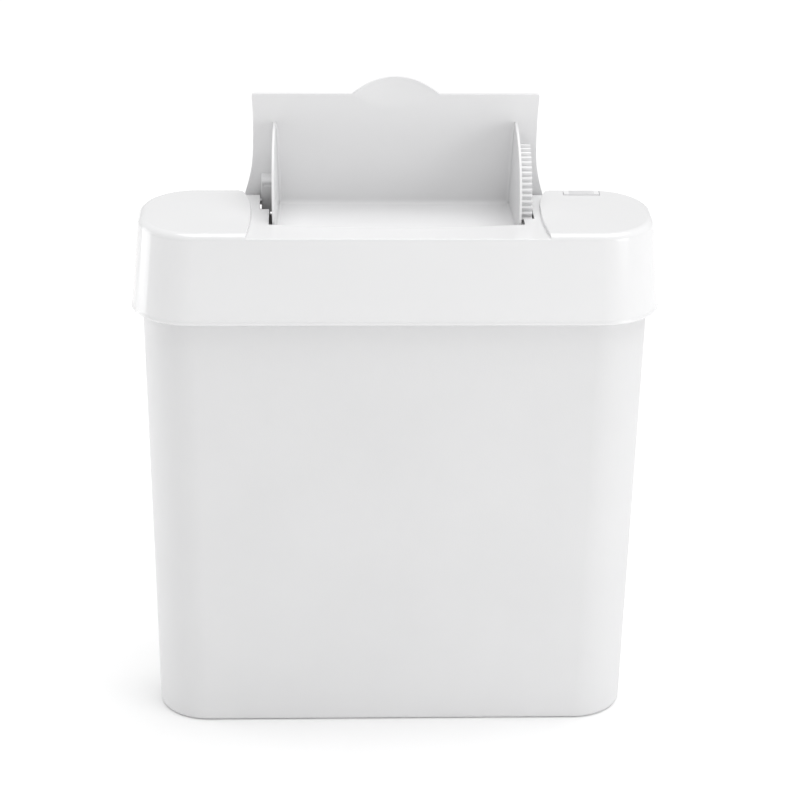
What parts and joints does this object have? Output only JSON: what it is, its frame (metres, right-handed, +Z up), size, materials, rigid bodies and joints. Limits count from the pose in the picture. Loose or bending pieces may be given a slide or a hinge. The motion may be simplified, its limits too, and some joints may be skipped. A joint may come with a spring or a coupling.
{
  "type": "pet waste bin",
  "caption": "Slim free-standing pet-waste bin: tapered tub, lift-off lid cover and a geared tray flap that screens the chute while it is open.",
  "frame": {"origin": "middle of the footprint, on the ground", "axes": "+X to the right-hand side, +Y to the rear, +Z up"},
  "size_m": [0.5, 0.14, 0.6363],
  "materials": {
    "tub_white": "fine grain, matte",
    "cover_gloss_white": "polished",
    "flap_white": "semi-gloss",
    "acetal_white": "satin",
    "damper_black": "satin",
    "rubber_grey": "matte",
    "steel": "zinc plated"
  },
  "bodies": {
    "tub": {"bin_body": "tub_white", "lock_keeper": "acetal_white", "keeper_screw": "steel"},
    "lid": {"lid_cover": "cover_gloss_white", "bearing_cap_left": "acetal_white", "bearing_cap_right": "acetal_white", "hinge_bush_left": "acetal_white", "hinge_bush_right": "acetal_white", "cap_screw_1": "steel", "cap_screw_2": "steel", "cap_screw_3": "steel", "cap_screw_4": "steel", "stop_pad_left": "rubber_grey", "stop_pad_right": "rubber_grey", "damper_bracket": "steel", "damper_screw_1": "steel", "damper_screw_2": "steel", "damper_housing": "damper_black", "damper_seal": "rubber_grey", "damper_cap": "damper_black"},
    "flap": {"flap_tray": "flap_white", "gear_segment": "flap_white", "hinge_pin_left": "steel", "hinge_pin_right": "steel"},
    "pinion": {"damper_pinion": "acetal_white", "damper_rotor": "damper_black"},
    "lock": {"lock_slider": "flap_white", "lock_bolt": "acetal_white", "lock_screw": "steel"}
  },
  "joints": [
    {"name": "lid_lift", "type": "slide", "parent": "tub", "child": "lid", "axis": [0, 0, 1], "range_m": [0, 0.25]},
    {"name": "flap_hinge", "type": "hinge", "parent": "lid", "child": "flap", "pos_m": [0, 0.058, 0.511], "axis": [1, 0, 0], "range_deg": [0, 80]},
    {"name": "pinion_spin", "type": "hinge", "parent": "lid", "child": "pinion", "pos_m": [0, -0.01602, 0.49745], "axis": [1, 0, 0], "range_deg": [-493.4, 0]},
    {"name": "lock_slide", "type": "slide", "parent": "lid", "child": "lock", "axis": [0, 1, 0], "range_m": [0, 0.005]}
  ],
  "couplings": [
    {"joint": "pinion_spin", "follows": "flap_hinge", "ratio": -6.1667}
  ]
}
